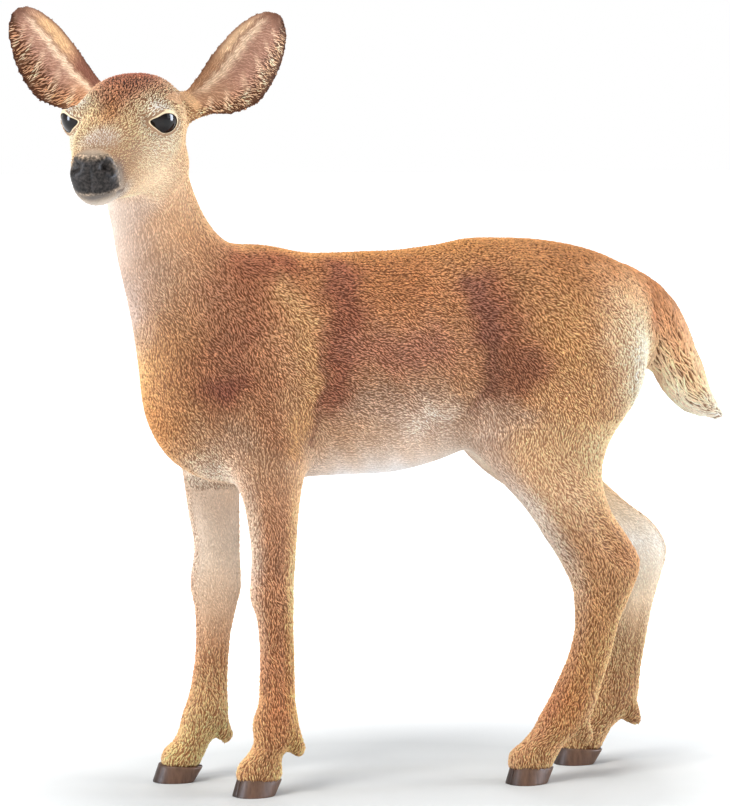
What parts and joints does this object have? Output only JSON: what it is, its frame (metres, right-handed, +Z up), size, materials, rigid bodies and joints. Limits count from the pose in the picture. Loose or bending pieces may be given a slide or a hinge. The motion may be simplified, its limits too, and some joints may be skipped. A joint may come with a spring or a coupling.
{
  "type": "white-tailed doe toy figure",
  "caption": "Small moulded and painted toy figure of a standing white-tailed doe, her head turned to one side and ears pricked, with sculpted fur and dark hooves.",
  "frame": {"origin": "bottom centre of the figure's box, on the ground under the hooves", "axes": "+Z up; the doe faces -X, her left side is -Y and her head is turned towards -Y"},
  "size_m": [0.0808, 0.0262, 0.0862],
  "materials": {
    "coat": "moulded soft PVC with sculpted fur, sprayed and dry-brushed matt paint",
    "nose": "satin black and grey paint, pebbled",
    "eye": "gloss black lacquer",
    "hoof": "satin dark brown paint"
  },
  "bodies": {
    "root": {"head": "coat", "neck": "coat", "trunk": "coat", "tail": "coat", "ear_left": "coat", "ear_right": "coat", "nose": "nose", "eye_left": "eye", "eye_right": "eye", "fore_left_upper": "coat", "fore_left_cannon": "coat", "fore_left_pastern": "coat", "hoof_fore_left_outer": "hoof", "hoof_fore_left_inner": "hoof", "fore_right_upper": "coat", "fore_right_cannon": "coat", "fore_right_pastern": "coat", "hoof_fore_right_outer": "hoof", "hoof_fore_right_inner": "hoof", "hind_left_upper": "coat", "hind_left_cannon": "coat", "hind_left_pastern": "coat", "hoof_hind_left_outer": "hoof", "hoof_hind_left_inner": "hoof", "hind_right_upper": "coat", "hind_right_cannon": "coat", "hind_right_pastern": "coat", "hoof_hind_right_outer": "hoof", "hoof_hind_right_inner": "hoof"}
  },
  "joints": []
}
